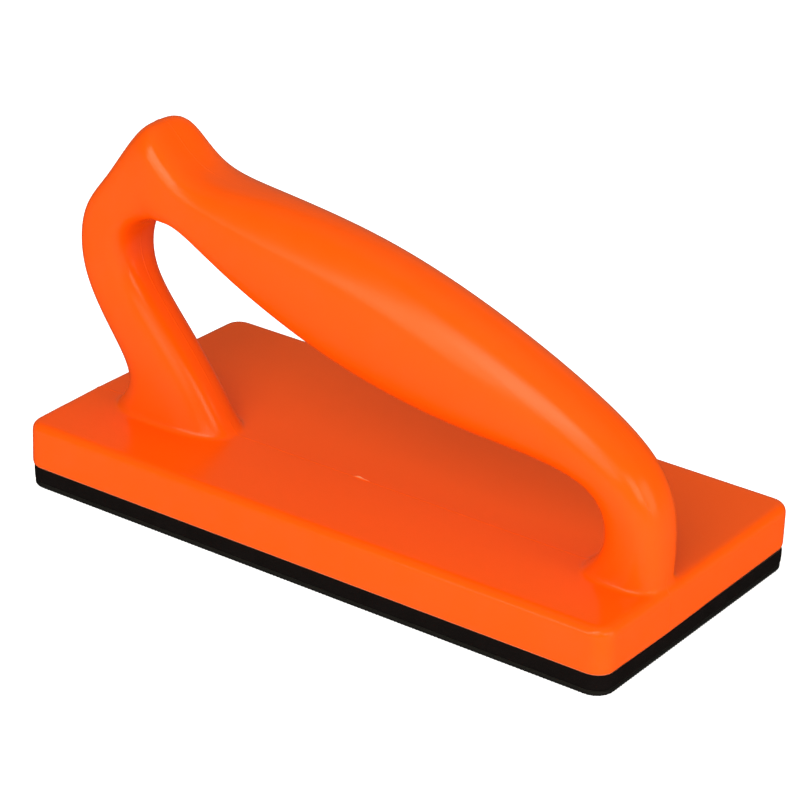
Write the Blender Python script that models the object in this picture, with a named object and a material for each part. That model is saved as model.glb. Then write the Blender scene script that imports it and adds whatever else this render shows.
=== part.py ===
"""Sanding block: a hollow blow-moulded body with an offset grip, on a foam sole faced with hook sheet.

Blender 4.5, metres, +Z up. The origin is the centre of the sole's underside. +X is the front, where
the grip comes down to the base; the horn behind the hand is at -X. The grip stands over the mould's
parting plane, which is nearer the -Y edge.
"""
import math

import bmesh
import bpy
from mathutils import Matrix, Vector

MM = 0.001

# Base slab, at the parting plane.
LENGTH = 230 * MM
WIDTH = 114 * MM
BODY_TOP = 23.7 * MM
PARTING_Y = -20.5 * MM
DRAFT = math.radians(0.5)
CORNER_RADIUS = 6.3 * MM
TOP_EDGE_RADIUS = 3.0 * MM
FLOOR_EDGE_RADIUS = 1.0 * MM

# Hollow moulding.
WALL = 2.2 * MM
CORE_TOP_EDGE_RADIUS = 1.2 * MM
CORE_CORNER_RADIUS = 4.1 * MM
BLOW_HOLE_RADIUS = 4 * MM
BLOW_HOLE_X = 20 * MM

# Sole, from the ground up: (bottom, top) of each layer, and how far its edge stands in from the base.
HOOK_LEVELS = (0.0, 1.3 * MM)
HOOK_ADHESIVE_LEVELS = (1.6 * MM, 1.9 * MM)
FOAM_LEVELS = (2.2 * MM, 6.5 * MM)
PAD_ADHESIVE_LEVELS = (6.8 * MM, 7.1 * MM)
BODY_FLOOR = 7.4 * MM
SOLE_INSET_TOP = 0.5 * MM
SOLE_INSET_BOTTOM = 0.8 * MM
FILM_INSET = 2.0 * MM

# Half widths and section shapes of the handle. A squareness of 2 is an ellipse.
LEG_WIDTH = 10
HORN_WIDTH = 13.5
GRIP_WIDTH = 15.5
ROUND = 2.3
SOFT = 2.6
SQUARE = 3.8

# Cage of the handle in mm, from the rear foot over the horn and along the grip to the front foot. Each
# cut is: outer x, outer z, inner x, inner z, half width, squareness. The skin is a smooth curve that the
# cuts pull on, so it passes inside the cage's corners. The end cuts lie in the base slab.
HANDLE_CAGE = (
    (-122, 8, -26, 8, LEG_WIDTH + 6, SOFT),
    (-104, 20, -53, 20, LEG_WIDTH + 2, SOFT),
    (-93, 34, -62, 36, LEG_WIDTH, SOFT),
    (-103, 48, -79, 56, LEG_WIDTH, SOFT),
    (-117, 68, -94, 72, LEG_WIDTH, SOFT),
    (-114, 94, -96, 86, LEG_WIDTH + 2, SQUARE),
    (-103, 105, -90, 93, LEG_WIDTH + 2, SQUARE),
    (-89, 129, -84, 94, HORN_WIDTH, SOFT),
    (-82, 127, -78, 95, HORN_WIDTH + 1, SQUARE),
    (-70, 112, -69, 96, HORN_WIDTH + 1, SQUARE),
    (-43, 113, -44, 77, GRIP_WIDTH, ROUND),
    (0, 109, -10, 63, GRIP_WIDTH, ROUND),
    (42, 96, 30, 56, GRIP_WIDTH, ROUND),
    (82, 78, 62, 56, GRIP_WIDTH - 1, ROUND),
    (110, 60, 89, 54, LEG_WIDTH + 2, ROUND),
    (114, 38, 95, 36, LEG_WIDTH, SOFT),
    (113, 20, 86, 20, LEG_WIDTH + 1, SOFT),
    (114, 4, 34, 4, LEG_WIDTH + 5, SOFT),
)
RINGS_PER_CUT = 4
RING_POINTS = 24
CORE_RINGS_PER_CUT = 3
CORE_RING_POINTS = 16

ORANGE = (1.0, 0.13, 0.01, 1.0)
BLACK_FOAM = (0.012, 0.012, 0.013, 1.0)
BLACK_HOOK = (0.02, 0.02, 0.022, 1.0)
ADHESIVE_TINT = (0.75, 0.72, 0.62, 1.0)


def clear_scene():
    for item in list(bpy.data.objects):
        bpy.data.objects.remove(item, do_unlink=True)


def new_collection(name):
    collection = bpy.data.collections.new(name)
    bpy.context.scene.collection.children.link(collection)
    return collection


def make_material(name, color, roughness, metallic=0.0):
    material = bpy.data.materials.new(name)
    material.use_nodes = True
    shader = material.node_tree.nodes["Principled BSDF"]
    shader.inputs["Base Color"].default_value = color
    shader.inputs["Roughness"].default_value = roughness
    shader.inputs["Metallic"].default_value = metallic
    return material


def object_from_bmesh(name, mesh_data, collection):
    bmesh.ops.recalc_face_normals(mesh_data, faces=mesh_data.faces)
    mesh = bpy.data.meshes.new(name)
    mesh_data.to_mesh(mesh)
    mesh_data.free()
    made = bpy.data.objects.new(name, mesh)
    collection.objects.link(made)
    return made


def shade_rounded(item):
    item.data.shade_smooth()
    item.data.set_sharp_from_angle(angle=math.radians(30))


def mark_cutter(item):
    item.hide_render = True
    item.display_type = "WIRE"


def add_boolean(item, cutter, operation):
    modifier = item.modifiers.new(operation.lower() + "_" + cutter.name, "BOOLEAN")
    modifier.operation = operation
    modifier.solver = "EXACT"
    modifier.object = cutter
    mark_cutter(cutter)


def is_upright(edge):
    first, second = (vertex.co for vertex in edge.verts)
    along = second - first
    return abs(along.z) > 10 * max(abs(along.x), abs(along.y))


def corner_edges(mesh_data):
    """Upright edges of the slab's four corners, without the two on the parting plane."""
    return [
        edge
        for edge in mesh_data.edges
        if is_upright(edge) and abs(edge.verts[0].co.y - PARTING_Y) > CORNER_RADIUS
    ]


def rim_edges(mesh_data, height):
    """Edges between an upright face and the slab's top or floor."""
    fall = WIDTH * math.tan(DRAFT)
    return [
        edge
        for edge in mesh_data.edges
        if all(abs(vertex.co.z - height) < fall for vertex in edge.verts)
        and any(abs(face.normal.z) < 0.5 for face in edge.link_faces)
    ]


def bevel_edges(mesh_data, edges, radius, segments):
    bmesh.ops.bevel(
        mesh_data,
        geom=edges,
        offset=radius,
        offset_type="OFFSET",
        segments=segments,
        profile=0.5,
        affect="EDGES",
        clamp_overlap=True,
    )


def drafted_slab(name, collection, inset, floor, top, corner_radius, top_radius, floor_radius):
    """Slab whose ends and top fall away from the parting plane by the mould's draft."""
    half_length = LENGTH / 2 - inset
    half_width = WIDTH / 2 - inset
    mesh_data = bmesh.new()
    bmesh.ops.create_cube(mesh_data, size=2.0)
    bmesh.ops.transform(
        mesh_data,
        matrix=Matrix.LocRotScale(
            Vector((0, 0, (floor + top) / 2)), None, Vector((half_length, half_width, (top - floor) / 2))
        ),
        verts=mesh_data.verts,
    )
    bmesh.ops.bisect_plane(
        mesh_data,
        geom=mesh_data.verts[:] + mesh_data.edges[:] + mesh_data.faces[:],
        dist=1e-6,
        plane_co=(0, PARTING_Y, 0),
        plane_no=(0, 1, 0),
    )
    for vertex in mesh_data.verts:
        fall = abs(vertex.co.y - PARTING_Y) * math.tan(DRAFT)
        vertex.co.x -= math.copysign(fall, vertex.co.x)
        if vertex.co.z > (floor + top) / 2:
            vertex.co.z -= fall
    bevel_edges(mesh_data, corner_edges(mesh_data), corner_radius, 5)
    bevel_edges(mesh_data, rim_edges(mesh_data, top), top_radius, 3)
    if floor_radius:
        bevel_edges(mesh_data, rim_edges(mesh_data, floor), floor_radius, 2)
    return object_from_bmesh(name, mesh_data, collection)


def spline_weights(s):
    """Pull of four neighbouring cage cuts on a uniform cubic B-spline."""
    return (
        (1 - s) ** 3 / 6,
        (3 * s**3 - 6 * s**2 + 4) / 6,
        (-3 * s**3 + 3 * s**2 + 3 * s + 1) / 6,
        s**3 / 6,
    )


def handle_rings(steps):
    """Smooth run of cuts through the cage."""
    rings = []
    spans = len(HANDLE_CAGE) - 3
    for span in range(spans):
        cuts = HANDLE_CAGE[span : span + 4]
        count = steps + 1 if span == spans - 1 else steps
        for step in range(count):
            weights = spline_weights(step / steps)
            pulls = list(zip(weights, cuts))
            rings.append([sum(pull * cut[column] for pull, cut in pulls) for column in range(6)])
    return rings


def section_point(ring, angle, wall):
    """Point of a superellipse whose long axis runs from the inner to the outer point of the ring."""
    outer = Vector((ring[0], 0, ring[1])) * MM
    inner = Vector((ring[2], 0, ring[3])) * MM
    half_depth = (outer - inner) / 2
    half_depth -= half_depth.normalized() * wall
    half_width = ring[4] * MM - wall
    power = 2 / ring[5]
    along = math.copysign(abs(math.cos(angle)) ** power, math.cos(angle))
    across = math.copysign(abs(math.sin(angle)) ** power, math.sin(angle))
    return (outer + inner) / 2 + half_depth * along + Vector((0, PARTING_Y + half_width * across, 0))


def lofted_handle(name, collection, steps, points, wall):
    mesh_data = bmesh.new()
    loops = []
    for ring in handle_rings(steps):
        angles = (2 * math.pi * (point + 0.5) / points for point in range(points))
        loops.append([mesh_data.verts.new(section_point(ring, angle, wall)) for angle in angles])
    for near, far in zip(loops, loops[1:]):
        for point in range(points):
            following = (point + 1) % points
            mesh_data.faces.new((near[point], near[following], far[following], far[point]))
    mesh_data.faces.new(loops[0])
    mesh_data.faces.new(loops[-1])
    return object_from_bmesh(name, mesh_data, collection)


def blow_hole_cutter(collection):
    mesh_data = bmesh.new()
    bmesh.ops.create_cone(
        mesh_data,
        cap_ends=True,
        segments=24,
        radius1=BLOW_HOLE_RADIUS,
        radius2=BLOW_HOLE_RADIUS,
        depth=6 * WALL,
        matrix=Matrix.Translation((BLOW_HOLE_X, 0, BODY_FLOOR)),
    )
    return object_from_bmesh("blow_hole", mesh_data, collection)


def build_body(parts, cutters):
    """Blow-moulded slab and handle in one skin, hollow throughout, open only at the blow hole."""
    body = drafted_slab(
        "body", parts, 0, BODY_FLOOR, BODY_TOP, CORNER_RADIUS, TOP_EDGE_RADIUS, FLOOR_EDGE_RADIUS
    )
    handle = lofted_handle("handle_skin", cutters, RINGS_PER_CUT, RING_POINTS, 0)
    slab_core = drafted_slab(
        "slab_core",
        cutters,
        WALL,
        BODY_FLOOR + WALL,
        BODY_TOP - WALL,
        CORE_CORNER_RADIUS,
        CORE_TOP_EDGE_RADIUS,
        0,
    )
    handle_core = lofted_handle("handle_core", cutters, CORE_RINGS_PER_CUT, CORE_RING_POINTS, WALL)
    add_boolean(body, handle, "UNION")
    add_boolean(body, slab_core, "DIFFERENCE")
    add_boolean(body, handle_core, "DIFFERENCE")
    add_boolean(body, blow_hole_cutter(cutters), "DIFFERENCE")
    shade_rounded(body)
    body.data.materials.append(make_material("orange_plastic", ORANGE, 0.3))
    return body


def inset_at(height):
    """How far the sole's cut edge stands in from the base at a height."""
    share = (BODY_FLOOR - height) / BODY_FLOOR
    return SOLE_INSET_TOP + share * (SOLE_INSET_BOTTOM - SOLE_INSET_TOP)


def sole_layer(name, collection, levels, material, inset=None):
    """Flat layer with rounded corners. Without an inset of its own it follows the sole's sloping cut."""
    bottom, top = levels
    inset_top = inset_at(top) if inset is None else inset
    inset_bottom = inset_at(bottom) if inset is None else inset
    mesh_data = bmesh.new()
    bmesh.ops.create_cube(mesh_data, size=2.0)
    for vertex in mesh_data.verts:
        inset = inset_top if vertex.co.z > 0 else inset_bottom
        vertex.co.x = math.copysign(LENGTH / 2 - inset, vertex.co.x)
        vertex.co.y = math.copysign(WIDTH / 2 - inset, vertex.co.y)
        vertex.co.z = top if vertex.co.z > 0 else bottom
    corners = [edge for edge in mesh_data.edges if abs(edge.verts[0].co.z - edge.verts[1].co.z) > 1e-6]
    bevel_edges(mesh_data, corners, CORNER_RADIUS, 6)
    layer = object_from_bmesh(name, mesh_data, collection)
    shade_rounded(layer)
    layer.data.materials.append(material)
    return layer


def build_sole(parts):
    foam = make_material("black_foam", BLACK_FOAM, 0.9)
    hook = make_material("black_hook_sheet", BLACK_HOOK, 0.7)
    film = make_material("adhesive_film", ADHESIVE_TINT, 0.4)
    sole_layer("hook_sheet", parts, HOOK_LEVELS, hook)
    sole_layer("hook_adhesive", parts, HOOK_ADHESIVE_LEVELS, film, FILM_INSET)
    sole_layer("foam_pad", parts, FOAM_LEVELS, foam)
    sole_layer("pad_adhesive", parts, PAD_ADHESIVE_LEVELS, film, FILM_INSET)


def main():
    clear_scene()
    parts = new_collection("sanding_block")
    cutters = new_collection("cutters")
    build_body(parts, cutters)
    build_sole(parts)


main()
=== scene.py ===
"""Looks of the sanding block: fine meshes, materials, floor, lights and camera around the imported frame.

Metres, +Z up. +X is the front, where the grip comes down to the base, and the horn behind the hand is
at -X. The body is one blow-moulded skin, so it is modelled as one fine skin with a raised parting line.
"""
import math

import bmesh
import bpy
import numpy as np
from mathutils import Matrix, Vector, noise


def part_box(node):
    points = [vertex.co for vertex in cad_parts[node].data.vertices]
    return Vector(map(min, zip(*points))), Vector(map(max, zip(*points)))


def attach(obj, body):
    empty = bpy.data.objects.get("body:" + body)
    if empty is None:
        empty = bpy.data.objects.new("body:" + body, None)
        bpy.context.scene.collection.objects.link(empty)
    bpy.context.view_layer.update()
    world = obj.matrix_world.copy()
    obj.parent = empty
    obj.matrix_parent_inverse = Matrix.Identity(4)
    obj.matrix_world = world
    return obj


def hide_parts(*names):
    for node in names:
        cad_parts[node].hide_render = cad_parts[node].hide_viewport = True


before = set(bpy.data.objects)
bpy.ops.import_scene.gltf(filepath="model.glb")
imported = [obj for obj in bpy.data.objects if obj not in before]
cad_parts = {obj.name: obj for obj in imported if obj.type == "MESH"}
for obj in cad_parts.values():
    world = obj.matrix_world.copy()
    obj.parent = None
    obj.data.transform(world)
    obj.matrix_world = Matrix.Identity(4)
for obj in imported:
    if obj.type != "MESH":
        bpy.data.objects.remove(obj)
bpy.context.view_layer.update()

MM = 0.001

# The base slab takes its outline from the frame.
BODY_LOW, BODY_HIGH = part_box("body")
HALF_LENGTH = BODY_HIGH.x
HALF_WIDTH = BODY_HIGH.y
BODY_FLOOR = BODY_LOW.z
BODY_TOP = BODY_FLOOR + 16.3 * MM
PARTING_Y = -20.5 * MM
DRAFT = math.radians(0.5)
CORNER_RADIUS = 6.3 * MM
TOP_EDGE_RADIUS = 3.0 * MM
FLOOR_EDGE_RADIUS = 1.0 * MM

# Half widths and section shapes of the handle. A squareness of 2 is an ellipse.
LEG_WIDTH = 10
HORN_WIDTH = 13.5
GRIP_WIDTH = 15.5
ROUND = 2.3
SOFT = 2.6
SQUARE = 3.8

# Cage of the handle in mm, from the rear foot over the horn and along the grip to the front foot. Each
# cut is: outer x, outer z, inner x, inner z, half width, squareness. The skin is a smooth curve that the
# cuts pull on, so it passes inside the cage's corners. The end cuts lie in the base slab.
HANDLE_CAGE = (
    (-122, 8, -26, 8, LEG_WIDTH + 6, SOFT),
    (-104, 20, -53, 20, LEG_WIDTH + 2, SOFT),
    (-93, 34, -62, 36, LEG_WIDTH, SOFT),
    (-103, 48, -79, 56, LEG_WIDTH, SOFT),
    (-117, 68, -94, 72, LEG_WIDTH, SOFT),
    (-114, 94, -96, 86, LEG_WIDTH + 2, SQUARE),
    (-103, 105, -90, 93, LEG_WIDTH + 2, SQUARE),
    (-89, 129, -84, 94, HORN_WIDTH, SOFT),
    (-82, 127, -78, 95, HORN_WIDTH + 1, SQUARE),
    (-70, 112, -69, 96, HORN_WIDTH + 1, SQUARE),
    (-43, 113, -44, 77, GRIP_WIDTH, ROUND),
    (0, 109, -10, 63, GRIP_WIDTH, ROUND),
    (42, 96, 30, 56, GRIP_WIDTH, ROUND),
    (82, 78, 62, 56, GRIP_WIDTH - 1, ROUND),
    (110, 60, 89, 54, LEG_WIDTH + 2, ROUND),
    (114, 38, 95, 36, LEG_WIDTH, SOFT),
    (113, 20, 86, 20, LEG_WIDTH + 1, SOFT),
    (114, 4, 34, 4, LEG_WIDTH + 5, SOFT),
)
RINGS_PER_CUT = 16
RING_POINTS = 128

# Skin of the moulding.
SKIN_VOXEL = 0.7 * MM
FOOT_FILLET_REACH = 3.5 * MM
FOOT_FILLET_PASSES = 10
FOOT_FADE = (14 * MM, 20 * MM)  # sideways from the parting plane, where the fillet's smoothing fades out
EVEN_PASSES = 6
RIDGE_HALF_WIDTH = 0.3 * MM
RIDGE_HEIGHT = 0.12 * MM
WORN_RIDGE_HEIGHT = 0.03 * MM
NICK_X = -2.4 * MM
NICK_REACH = 3.4 * MM
NICK_HEIGHT = 0.6 * MM
NICK_WAVE = 0.7 * MM
NICK_RAGGEDNESS = 0.25
NICK_CEILING = BODY_TOP + 1 * MM  # the nick is on the base, so nothing above this height is torn
HAND_FLOOR = BODY_TOP + 4 * MM  # the hand wears the line down above this height
HAND_REAR = -65 * MM  # and ahead of this x

# Sole.
SOLE_INSET_TOP = 0.5 * MM
SOLE_INSET_BOTTOM = 0.8 * MM
HOOK_BACKING = (0.35 * MM, 1.6 * MM)
HOOK_FILM = (1.6 * MM, 1.9 * MM)
FOAM = (1.9 * MM, 7.1 * MM)
PAD_FILM = (7.1 * MM, 7.4 * MM)
HOOK_PITCH = 2.2 * MM
RIM_HOOK_PITCH = 0.7 * MM
RIM_HOOK_INSET = 0.5 * MM
HOOK_MARGIN = 1.6 * MM
HOOK_STAGGER = 0.25  # of a pitch, one way and the other in alternate rows
HOOK_TURN = 0.8  # how far the tip's section tilts, as a share of its radius
HOOK_NARROWING = 0.6  # how much of the tip's length along the bend is lost
CUT_WAVE = 6 * MM  # length of the waves that the die leaves on a cut side

# Light.
LAMP_TINT = (1.0, 0.93, 0.62)
WORLD_FILL = 0.30
WORLD_MIRRORED = 0.04
FLOOR_GLOW = 0.5
FLOOR_CAMERA_GLOW = 0.35
FLOOR_SIZE = 4.0
FLOOR_GAP = 0.05 * MM
LAMP_AIM = Vector((0, 0, 0.05))

# Camera.
CAMERA_AZIMUTH = math.radians(34.6)
CAMERA_ELEVATION = math.radians(25.4)
CAMERA_ROLL = math.radians(2.2)
CAMERA_DISTANCE = 1.107
CAMERA_AIM_RIGHT = -0.0005
CAMERA_AIM_UP = 0.0408
CAMERA_LENS = 150.4
CAMERA_SENSOR = 36.0


# ---------------------------------------------------------------- helpers


def link(item):
    bpy.context.scene.collection.objects.link(item)
    return item


def object_from_bmesh(name, mesh_data):
    bmesh.ops.recalc_face_normals(mesh_data, faces=mesh_data.faces)
    mesh = bpy.data.meshes.new(name)
    mesh_data.to_mesh(mesh)
    mesh_data.free()
    return link(bpy.data.objects.new(name, mesh))


def evaluated_mesh(item, name):
    """Mesh of the object with its modifiers applied."""
    depsgraph = bpy.context.evaluated_depsgraph_get()
    mesh = bpy.data.meshes.new_from_object(item.evaluated_get(depsgraph))
    mesh.name = name
    return mesh


def vertex_array(mesh):
    points = np.empty(len(mesh.vertices) * 3, np.float32)
    mesh.vertices.foreach_get("co", points)
    return points.reshape(-1, 3)


def smooth_step(low, high, value):
    share = np.clip((value - low) / (high - low), 0, 1)
    return share * share * (3 - 2 * share)


# ---------------------------------------------------------------- moulded body


def is_upright(edge):
    first, second = (vertex.co for vertex in edge.verts)
    along = second - first
    return abs(along.z) > 10 * max(abs(along.x), abs(along.y))


def bevel_edges(mesh_data, edges, radius, segments):
    bmesh.ops.bevel(
        mesh_data,
        geom=edges,
        offset=radius,
        offset_type="OFFSET",
        segments=segments,
        profile=0.5,
        affect="EDGES",
        clamp_overlap=True,
    )


def rim_edges(mesh_data, height):
    """Edges between an upright face and the slab's top or floor."""
    fall = 2 * HALF_WIDTH * math.tan(DRAFT)
    return [
        edge
        for edge in mesh_data.edges
        if all(abs(vertex.co.z - height) < fall for vertex in edge.verts)
        and any(abs(face.normal.z) < 0.5 for face in edge.link_faces)
    ]


def build_slab():
    """Base whose ends and top fall away from the parting plane by the mould's draft."""
    middle = (BODY_FLOOR + BODY_TOP) / 2
    size = Vector((HALF_LENGTH, HALF_WIDTH, (BODY_TOP - BODY_FLOOR) / 2))
    mesh_data = bmesh.new()
    bmesh.ops.create_cube(mesh_data, size=2.0)
    bmesh.ops.transform(
        mesh_data, matrix=Matrix.LocRotScale(Vector((0, 0, middle)), None, size), verts=mesh_data.verts
    )
    bmesh.ops.bisect_plane(
        mesh_data,
        geom=mesh_data.verts[:] + mesh_data.edges[:] + mesh_data.faces[:],
        dist=1e-6,
        plane_co=(0, PARTING_Y, 0),
        plane_no=(0, 1, 0),
    )
    for vertex in mesh_data.verts:
        fall = abs(vertex.co.y - PARTING_Y) * math.tan(DRAFT)
        vertex.co.x -= math.copysign(fall, vertex.co.x)
        if vertex.co.z > middle:
            vertex.co.z -= fall
    corners = [
        edge
        for edge in mesh_data.edges
        if is_upright(edge) and abs(edge.verts[0].co.y - PARTING_Y) > CORNER_RADIUS
    ]
    bevel_edges(mesh_data, corners, CORNER_RADIUS, segments=16)
    bevel_edges(mesh_data, rim_edges(mesh_data, BODY_TOP), TOP_EDGE_RADIUS, segments=10)
    bevel_edges(mesh_data, rim_edges(mesh_data, BODY_FLOOR), FLOOR_EDGE_RADIUS, segments=6)
    return object_from_bmesh("slab", mesh_data)


def spline_weights(s):
    """Pull of four neighbouring cage cuts on a uniform cubic B-spline."""
    return (
        (1 - s) ** 3 / 6,
        (3 * s**3 - 6 * s**2 + 4) / 6,
        (-3 * s**3 + 3 * s**2 + 3 * s + 1) / 6,
        s**3 / 6,
    )


def handle_rings(steps):
    """Smooth run of cuts through the cage."""
    rings = []
    spans = len(HANDLE_CAGE) - 3
    for span in range(spans):
        cuts = HANDLE_CAGE[span : span + 4]
        count = steps + 1 if span == spans - 1 else steps
        for step in range(count):
            weights = spline_weights(step / steps)
            pulls = list(zip(weights, cuts))
            rings.append([sum(pull * cut[column] for pull, cut in pulls) for column in range(6)])
    return rings


def section_point(ring, angle):
    """Point of a superellipse whose long axis runs from the inner to the outer point of the ring."""
    outer = Vector((ring[0], 0, ring[1])) * MM
    inner = Vector((ring[2], 0, ring[3])) * MM
    power = 2 / ring[5]
    along = math.copysign(abs(math.cos(angle)) ** power, math.cos(angle))
    across = math.copysign(abs(math.sin(angle)) ** power, math.sin(angle))
    sideways = Vector((0, PARTING_Y + ring[4] * MM * across, 0))
    return (outer + inner) / 2 + (outer - inner) / 2 * along + sideways


def build_handle():
    mesh_data = bmesh.new()
    loops = []
    for ring in handle_rings(RINGS_PER_CUT):
        angles = (2 * math.pi * point / RING_POINTS for point in range(RING_POINTS))
        loops.append([mesh_data.verts.new(section_point(ring, angle)) for angle in angles])
    for near, far in zip(loops, loops[1:]):
        for point in range(RING_POINTS):
            following = (point + 1) % RING_POINTS
            mesh_data.faces.new((near[point], near[following], far[following], far[point]))
    mesh_data.faces.new(loops[0])
    mesh_data.faces.new(loops[-1])
    return object_from_bmesh("handle", mesh_data)


def weight_feet(item):
    """Vertex group that holds the creases where the handle's feet meet the base."""
    points = vertex_array(item.data)
    near_top = 1 - smooth_step(0.5, 1.0, np.abs(points[:, 2] - BODY_TOP) / (2 * FOOT_FILLET_REACH))
    near_handle = 1 - smooth_step(*FOOT_FADE, np.abs(points[:, 1] - PARTING_Y))
    weights = near_top * near_handle
    group = item.vertex_groups.new(name="feet")
    for index in np.nonzero(weights > 0.01)[0]:
        group.add([int(index)], float(weights[index]), "REPLACE")
    return group


def fused_skin(slab, handle):
    """One closed skin around slab and handle, with its surface smoothed and the feet filleted."""
    union = slab.modifiers.new("union", "BOOLEAN")
    union.operation = "UNION"
    union.object = handle
    remesh = slab.modifiers.new("skin", "REMESH")
    remesh.mode = "VOXEL"
    remesh.voxel_size = SKIN_VOXEL
    skin = link(bpy.data.objects.new("skin", evaluated_mesh(slab, "skin")))
    even = skin.modifiers.new("even", "SMOOTH")
    even.factor = 0.5
    even.iterations = EVEN_PASSES
    fillet = skin.modifiers.new("fillet", "SMOOTH")
    fillet.factor = 0.5
    fillet.iterations = FOOT_FILLET_PASSES
    fillet.vertex_group = weight_feet(skin).name
    body = link(bpy.data.objects.new("moulded_body", evaluated_mesh(skin, "moulded_body")))
    for used in (slab, handle, skin):
        bpy.data.objects.remove(used, do_unlink=True)
    return body


def cut_along(mesh_data, offset):
    """Puts a row of vertices where the plane at this distance from the parting plane meets the skin."""
    reach = 2 * SKIN_VOXEL
    faces = [
        face for face in mesh_data.faces if abs(face.calc_center_median().y - PARTING_Y - offset) < reach
    ]
    edges = {edge for face in faces for edge in face.edges}
    verts = {vertex for face in faces for vertex in face.verts}
    cut = bmesh.ops.bisect_plane(
        mesh_data,
        geom=list(verts) + list(edges) + faces,
        dist=1e-6,
        plane_co=(0, PARTING_Y + offset, 0),
        plane_no=(0, 1, 0),
    )
    return [item for item in cut["geom_cut"] if isinstance(item, bmesh.types.BMVert)]


def nick_share(point):
    """How far a point of the base's parting line lies inside the torn flash, from 0 to 1."""
    distance = abs(point.x - NICK_X)
    if point.z > NICK_CEILING or distance > NICK_REACH:
        return 0.0
    ragged = 1 - NICK_RAGGEDNESS + NICK_RAGGEDNESS * math.sin(point.x / NICK_WAVE)
    return ragged * (1 - (distance / NICK_REACH) ** 2)


def ridge_height(point):
    """The line stands proud on the base, the horn and the rear leg, and the hand has worn it elsewhere."""
    worn = point.z > HAND_FLOOR and point.x > HAND_REAR
    return (WORN_RIDGE_HEIGHT if worn else RIDGE_HEIGHT) + NICK_HEIGHT * nick_share(point)


def raise_parting_line(body):
    """Low ridge where the two mould halves met, all the way round the body, with its paleness stored."""
    mesh_data = bmesh.new()
    mesh_data.from_mesh(body.data)
    paleness = mesh_data.verts.layers.float.new("paleness")
    cut_along(mesh_data, -RIDGE_HALF_WIDTH)
    cut_along(mesh_data, RIDGE_HALF_WIDTH)
    crest = [vertex for vertex in cut_along(mesh_data, 0.0) if vertex.co.z > BODY_FLOOR + 0.5 * MM]
    mesh_data.normal_update()
    for vertex in crest:
        vertex[paleness] = nick_share(vertex.co)
        vertex.co += vertex.normal * ridge_height(vertex.co)
    mesh_data.to_mesh(body.data)
    mesh_data.free()
    body.data.shade_smooth()


def build_body():
    body = fused_skin(build_slab(), build_handle())
    raise_parting_line(body)
    body.data.materials.append(orange_plastic())
    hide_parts("body")
    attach(body, "root")
    return body


# ---------------------------------------------------------------- sole


def outline(inset, points_per_corner=10, side_step=3 * MM):
    """Rounded rectangle as a closed list of (x, y), with its sides divided."""
    half_x = HALF_LENGTH - inset
    half_y = HALF_WIDTH - inset
    radius = CORNER_RADIUS
    corners = ((1, 1, 0), (-1, 1, 90), (-1, -1, 180), (1, -1, 270))
    points = []
    for x_sign, y_sign, start in corners:
        centre_x = x_sign * (half_x - radius)
        centre_y = y_sign * (half_y - radius)
        for step in range(points_per_corner + 1):
            angle = math.radians(start + 90 * step / points_per_corner)
            points.append((centre_x + radius * math.cos(angle), centre_y + radius * math.sin(angle)))
    divided = []
    for (x0, y0), (x1, y1) in zip(points, points[1:] + points[:1]):
        pieces = max(1, round(math.hypot(x1 - x0, y1 - y0) / side_step))
        divided += [(x0 + (x1 - x0) * k / pieces, y0 + (y1 - y0) * k / pieces) for k in range(pieces)]
    return divided


def inset_at(height):
    """How far the sole's cut edge stands in from the base at a height."""
    share = (BODY_FLOOR - height) / BODY_FLOOR
    return SOLE_INSET_TOP + share * (SOLE_INSET_BOTTOM - SOLE_INSET_TOP)


def layer_mesh(name, levels, rows, edge_round=0.0, waviness=0.0, extra_inset=0.0):
    """Flat layer whose side is a stack of outlines, rounded at both edges and slightly wavy from the die."""
    bottom, top = levels
    thickness = top - bottom
    mesh_data = bmesh.new()
    loops = []
    for row in range(rows + 1):
        share = row / rows
        height = bottom + thickness * share
        edge = min(share, 1 - share) * thickness
        rounding = edge_round * (1 - min(1.0, edge / edge_round)) ** 2 if edge_round else 0.0
        inset = inset_at(height) + extra_inset + rounding
        loop = []
        for x, y in outline(inset):
            wave = waviness * noise.noise(Vector((x, y, height)) / CUT_WAVE)
            point = (x + math.copysign(wave, x), y + math.copysign(wave, y), height)
            loop.append(mesh_data.verts.new(point))
        loops.append(loop)
    count = len(loops[0])
    for low, high in zip(loops, loops[1:]):
        for point in range(count):
            following = (point + 1) % count
            mesh_data.faces.new((low[point], low[following], high[following], high[point]))
    mesh_data.faces.new(loops[0][::-1])
    mesh_data.faces.new(loops[-1])
    return object_from_bmesh(name, mesh_data)


def finish_piece(piece, material, node):
    piece.data.shade_smooth()
    piece.data.set_sharp_from_angle(angle=math.radians(40))
    piece.data.materials.append(material)
    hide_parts(node)
    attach(piece, "root")


def hook_profile():
    """Centre line of one hook below the backing, bent over at the tip: (sideways, height, radius)."""
    root = HOOK_BACKING[0]
    return (
        (0.0, root + 0.15 * MM, 0.20 * MM),
        (0.0, 0.6 * root, 0.15 * MM),
        (0.10 * MM, 0.3 * root, 0.12 * MM),
        (0.28 * MM, 0.25 * root, 0.10 * MM),
        (0.42 * MM, 0.55 * root, 0.07 * MM),
    )


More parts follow.
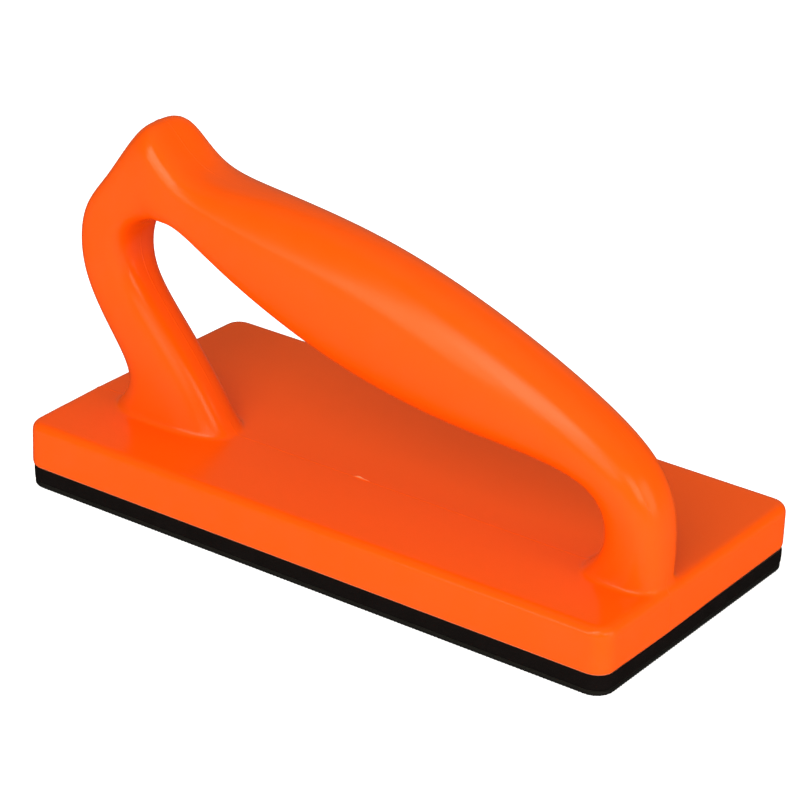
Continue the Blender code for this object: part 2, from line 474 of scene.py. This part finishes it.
def hook_positions():
    """Staggered rows of hooks, clear of the sheet's edge."""
    margin = SOLE_INSET_BOTTOM + HOOK_MARGIN
    rows = int(2 * (HALF_WIDTH - margin) / HOOK_PITCH)
    columns = int(2 * (HALF_LENGTH - margin) / HOOK_PITCH)
    corner = CORNER_RADIUS
    for row in range(rows + 1):
        for column in range(columns + 1):
            x = (column - columns / 2 + HOOK_STAGGER * (-1) ** row) * HOOK_PITCH
            y = (row - rows / 2) * HOOK_PITCH
            over_x = abs(x) - (HALF_LENGTH - margin - corner)
            over_y = abs(y) - (HALF_WIDTH - margin - corner)
            if max(over_x, over_y) > corner:
                continue
            if over_x > 0 and over_y > 0 and math.hypot(over_x, over_y) > corner:
                continue
            yield x, y, (-1) ** row


def rim_hook_positions():
    """One dense row of hooks along the cut edge of the sheet."""
    rim = outline(SOLE_INSET_BOTTOM + RIM_HOOK_INSET, side_step=RIM_HOOK_PITCH)
    for number, (x, y) in enumerate(rim):
        yield x, y, (-1) ** number


def add_hooks(mesh_data, positions):
    """Each hook is a closed four-sided stem; neighbouring rows bend opposite ways."""
    profile = hook_profile()
    sides = ((-1, -1), (1, -1), (1, 1), (-1, 1))
    for x, y, way in positions:
        loops = []
        for index, (sideways, height, radius) in enumerate(profile):
            bend = index / (len(profile) - 1)
            loop = []
            for side_x, side_y in sides:
                lift = side_x * radius * bend * HOOK_TURN
                along = x + way * (sideways + side_x * radius * (1 - HOOK_NARROWING * bend))
                loop.append(mesh_data.verts.new((along, y + side_y * radius, max(0.0, height - lift))))
            loops.append(loop)
        for low, high in zip(loops, loops[1:]):
            for point in range(4):
                following = (point + 1) % 4
                mesh_data.faces.new((low[point], low[following], high[following], high[point]))
        mesh_data.faces.new(loops[0][::-1])
        mesh_data.faces.new(loops[-1])


def build_hook_sheet():
    backing = layer_mesh("hook_face", HOOK_BACKING, edge_round=0.12 * MM, waviness=0.10 * MM, rows=4)
    mesh_data = bmesh.new()
    mesh_data.from_mesh(backing.data)
    add_hooks(mesh_data, hook_positions())
    add_hooks(mesh_data, rim_hook_positions())
    bmesh.ops.recalc_face_normals(mesh_data, faces=mesh_data.faces)
    mesh_data.to_mesh(backing.data)
    mesh_data.free()
    finish_piece(backing, hook_nylon(), "hook_sheet")


def build_sole():
    foam = layer_mesh("foam_sole", FOAM, edge_round=0.35 * MM, waviness=0.18 * MM, rows=10)
    finish_piece(foam, closed_cell_foam(), "foam_pad")
    film = adhesive_film()
    pad_film = layer_mesh("pad_film", PAD_FILM, extra_inset=0.4 * MM, rows=1)
    finish_piece(pad_film, film, "pad_adhesive")
    hook_film = layer_mesh("hook_film", HOOK_FILM, extra_inset=0.3 * MM, rows=1)
    finish_piece(hook_film, film, "hook_adhesive")
    build_hook_sheet()


# ---------------------------------------------------------------- materials


class Nodes:
    """Small helper that adds and joins shader nodes."""

    def __init__(self, name):
        self.material = bpy.data.materials.new(name)
        self.material.use_nodes = True
        self.tree = self.material.node_tree
        self.shader = self.tree.nodes["Principled BSDF"]
        self.position = self.add("ShaderNodeTexCoord").outputs["Object"]

    def add(self, kind, settings=None, **inputs):
        node = self.tree.nodes.new(kind)
        for name, value in (settings or {}).items():
            setattr(node, name, value)
        for name, value in inputs.items():
            self.set(node.inputs[name.replace("_", " ")], value)
        return node

    def set(self, socket, value):
        if isinstance(value, bpy.types.NodeSocket):
            self.tree.links.new(value, socket)
        else:
            socket.default_value = value

    def noise(self, size, detail=2.0, roughness=0.5, stretch=None):
        """Noise whose features are about the given size in metres."""
        vector = self.position
        if stretch:
            mapping = self.add("ShaderNodeMapping", Vector=vector, Scale=stretch)
            vector = mapping.outputs["Vector"]
        settings = {"Vector": vector, "Scale": 1 / size, "Detail": detail, "Roughness": roughness}
        return self.add("ShaderNodeTexNoise", **settings).outputs["Fac"]

    def cells(self, size, feature="F1"):
        node = self.add("ShaderNodeTexVoronoi", {"feature": feature}, Vector=self.position, Scale=1 / size)
        return node.outputs["Distance"]

    def height(self):
        return self.add("ShaderNodeSeparateXYZ", Vector=self.position).outputs["Z"]

    def attribute(self, name):
        return self.add("ShaderNodeAttribute", {"attribute_name": name}).outputs["Fac"]

    def remap(self, value, low, high, to_low, to_high):
        node = self.add("ShaderNodeMapRange", Value=value)
        node.inputs["From Min"].default_value = low
        node.inputs["From Max"].default_value = high
        node.inputs["To Min"].default_value = to_low
        node.inputs["To Max"].default_value = to_high
        return node.outputs["Result"]

    def mix_color(self, share, first, second):
        node = self.add("ShaderNodeMix", {"data_type": "RGBA"})
        self.set(node.inputs[0], share)
        self.set(node.inputs[6], first)
        self.set(node.inputs[7], second)
        return node.outputs[2]

    def math(self, operation, first, second=0.0):
        node = self.add("ShaderNodeMath", {"operation": operation})
        self.set(node.inputs[0], first)
        self.set(node.inputs[1], second)
        return node.outputs[0]

    def bump(self, height, distance, strength=1.0, below=None):
        node = self.add("ShaderNodeBump", Height=height, Distance=distance, Strength=strength)
        if below is not None:
            self.set(node.inputs["Normal"], below)
        return node.outputs["Normal"]

    def principled(self, **inputs):
        for name, value in inputs.items():
            self.set(self.shader.inputs[name.replace("_", " ")], value)
        return self.material


def orange_plastic():
    """Blow-moulded polyethylene: waxy gloss, faint orange peel, pits, stress-pale flash and a paler band
    along the bottom edge.
    """
    nodes = Nodes("moulded_orange")
    deep_orange = (0.93, 0.090, 0.0005, 1)
    light_orange = (0.97, 0.098, 0.0010, 1)
    pale_bottom_tone = (1.0, 0.45, 0.25, 1)
    torn_flash = (1.0, 0.60, 0.30, 1)
    pit_dark_tone = (0.45, 0.02, 0.001, 1)
    flow = nodes.noise(28 * MM, 2.0, stretch=(0.5, 1.0, 1.0))
    base = nodes.mix_color(flow, deep_orange, light_orange)
    # The lowest 0.55 to 0.85 mm of the body is mixed part way towards a paler orange.
    bottom_band = nodes.remap(nodes.height(), BODY_FLOOR + 0.55 * MM, BODY_FLOOR + 0.85 * MM, 1, 0)
    base = nodes.mix_color(nodes.math("MULTIPLY", bottom_band, 0.35), base, pale_bottom_tone)
    base = nodes.mix_color(nodes.attribute("paleness"), base, torn_flash)
    # Pits are dented by the bump further down and also coloured darker than the plastic around them.
    pit = nodes.remap(nodes.cells(34 * MM), 0.006, 0.012, 1, 0)
    base = nodes.mix_color(nodes.math("MULTIPLY", pit, 0.6), base, pit_dark_tone)
    smear = nodes.noise(9 * MM, 3.0)
    roughness = nodes.remap(smear, 0.3, 0.7, 0.19, 0.23)
    peel = nodes.noise(1.1 * MM, 1.0)
    sink = nodes.noise(22 * MM, 0.0)
    normal = nodes.bump(peel, 0.006 * MM)
    normal = nodes.bump(sink, 0.05 * MM, below=normal)
    normal = nodes.bump(nodes.math("MULTIPLY", pit, -1.0), 0.1 * MM, below=normal)
    return nodes.principled(
        Base_Color=base,
        Roughness=roughness,
        Normal=normal,
        IOR=1.45,
        Specular_IOR_Level=0.5,
    )


def closed_cell_foam():
    """Black foam: fine closed cells on the cut side, no shine."""
    nodes = Nodes("black_foam_cells")
    cells = nodes.cells(0.45 * MM)
    grain = nodes.noise(0.25 * MM, 3.0)
    patches = nodes.noise(7 * MM, 2.0)
    base = nodes.mix_color(patches, (0.0035, 0.0022, 0.0022, 1), (0.0065, 0.0040, 0.0042, 1))
    normal = nodes.bump(cells, 0.10 * MM, 0.8)
    normal = nodes.bump(grain, 0.03 * MM, below=normal)
    return nodes.principled(
        Base_Color=base,
        Roughness=nodes.remap(cells, 0, 0.6, 0.7, 0.95),
        Normal=normal,
        Specular_IOR_Level=0.15,
    )


def hook_nylon():
    """Moulded nylon of the hook sheet."""
    nodes = Nodes("hook_nylon")
    grain = nodes.noise(0.6 * MM, 3.0)
    base = nodes.mix_color(grain, (0.004, 0.0035, 0.0035, 1), (0.009, 0.008, 0.008, 1))
    return nodes.principled(
        Base_Color=base,
        Roughness=nodes.remap(grain, 0.3, 0.7, 0.45, 0.65),
        Normal=nodes.bump(grain, 0.03 * MM),
    )


def adhesive_film():
    """Thin acrylic transfer tape, slightly yellow and tacky."""
    nodes = Nodes("acrylic_tape")
    patches = nodes.noise(4 * MM, 3.0)
    base = nodes.mix_color(patches, (0.010, 0.009, 0.008, 1), (0.020, 0.018, 0.015, 1))
    return nodes.principled(Base_Color=base, Roughness=nodes.remap(patches, 0.3, 0.7, 0.3, 0.45))


def pale_floor_material():
    """Pale sweep that glows a little, and a little more for the camera."""
    nodes = Nodes("pale_floor")
    mottle = nodes.noise(60 * MM, 2.0)
    base = nodes.mix_color(mottle, (0.74, 0.74, 0.74, 1), (0.76, 0.76, 0.76, 1))
    seen = nodes.add("ShaderNodeLightPath").outputs["Is Camera Ray"]
    glow = nodes.math("ADD", nodes.math("MULTIPLY", seen, FLOOR_CAMERA_GLOW), FLOOR_GLOW)
    return nodes.principled(
        Base_Color=base,
        Roughness=0.9,
        Specular_IOR_Level=0.0,
        Emission_Color=(1, 1, 1, 1),
        Emission_Strength=glow,
    )


# ---------------------------------------------------------------- stage


def build_floor():
    mesh_data = bmesh.new()
    bmesh.ops.create_grid(mesh_data, x_segments=8, y_segments=8, size=FLOOR_SIZE)
    floor = object_from_bmesh("floor", mesh_data)
    floor.location.z = -FLOOR_GAP
    floor.data.materials.append(pale_floor_material())
    floor.visible_glossy = False


def build_world():
    """Even fill for diffuse light, and a dim even surrounding in reflections."""
    world = bpy.data.worlds.new("studio")
    bpy.context.scene.world = world
    world.use_nodes = True
    tree = world.node_tree
    tree.nodes.clear()
    output = tree.nodes.new("ShaderNodeOutputWorld")
    path = tree.nodes.new("ShaderNodeLightPath")
    fill = tree.nodes.new("ShaderNodeBackground")
    fill.inputs["Strength"].default_value = WORLD_FILL
    mirrored = tree.nodes.new("ShaderNodeBackground")
    mirrored.inputs["Strength"].default_value = WORLD_MIRRORED
    mix = tree.nodes.new("ShaderNodeMixShader")
    tree.links.new(path.outputs["Is Glossy Ray"], mix.inputs[0])
    tree.links.new(fill.outputs[0], mix.inputs[1])
    tree.links.new(mirrored.outputs[0], mix.inputs[2])
    tree.links.new(mix.outputs[0], output.inputs[0])


def axes_towards(azimuth, elevation):
    """Across, up and outward directions. Azimuth 0 is in front of the long side, towards -Y, and 90 is +X."""
    across = Vector((math.cos(azimuth), math.sin(azimuth), 0))
    outward = Vector(
        (
            math.sin(azimuth) * math.cos(elevation),
            -math.cos(azimuth) * math.cos(elevation),
            math.sin(elevation),
        )
    )
    return across, outward.cross(across), outward


def softbox(name, place, distance, size, radiance, roll=0, mirrored=True):
    """Area light facing the object. Its place is azimuth and elevation in degrees, its size in metres."""
    azimuth, elevation = (math.radians(angle) for angle in place)
    width, height = size
    roll = math.radians(roll)
    across, upward, outward = axes_towards(azimuth, elevation)
    data = bpy.data.lights.new(name, "AREA")
    data.shape = "RECTANGLE"
    data.size = width
    data.size_y = height
    data.energy = radiance * math.pi * width * height
    data.color = LAMP_TINT if mirrored else (1, 1, 1)
    light = link(bpy.data.objects.new(name, data))
    light.visible_glossy = mirrored
    side = across * math.cos(roll) + upward * math.sin(roll)
    top = upward * math.cos(roll) - across * math.sin(roll)
    turn = Matrix((side, top, outward)).transposed().to_4x4()
    light.matrix_world = Matrix.Translation(LAMP_AIM + outward * distance) @ turn


def build_lights():
    """Lamps that make the highlights first, then soft fills that no reflection shows."""
    softbox("key_edge", (-4, 34), distance=1.5, size=(2.05, 0.4), radiance=2.2, roll=54)
    softbox("key_body", (20, 38), distance=1.5, size=(1.4, 0.9), radiance=0.7, roll=45)
    softbox("strip_corner", (70, 26), distance=1.5, size=(0.5, 0.7), radiance=2.2)
    softbox("strip_right", (104, 17), distance=1.5, size=(0.6, 0.8), radiance=1.3)
    softbox("wall_behind", (-145, 14), distance=1.5, size=(2.0, 1.5), radiance=0.14)
    softbox("fill_front", (12, 38), distance=1.8, size=(1.2, 1.0), radiance=4.0, mirrored=False)
    softbox("fill_end", (86, 15), distance=2.0, size=(0.6, 0.9), radiance=7.0, mirrored=False)
    softbox("fill_top", (170, 75), distance=1.5, size=(1.6, 1.6), radiance=0.5, mirrored=False)


def build_camera():
    right, up, toward = axes_towards(CAMERA_AZIMUTH, CAMERA_ELEVATION)
    rolled_right = right * math.cos(CAMERA_ROLL) + up * math.sin(CAMERA_ROLL)
    rolled_up = up * math.cos(CAMERA_ROLL) - right * math.sin(CAMERA_ROLL)
    data = bpy.data.cameras.new("camera")
    data.lens = CAMERA_LENS
    data.sensor_width = CAMERA_SENSOR
    camera = link(bpy.data.objects.new("camera", data))
    location = toward * CAMERA_DISTANCE + rolled_right * CAMERA_AIM_RIGHT + rolled_up * CAMERA_AIM_UP
    rotation = Matrix((rolled_right, rolled_up, toward)).transposed().to_4x4()
    camera.matrix_world = Matrix.Translation(location) @ rotation
    bpy.context.scene.camera = camera
    bpy.context.scene.view_settings.view_transform = "Standard"


build_body()
build_sole()
build_floor()
build_world()
build_lights()
build_camera()
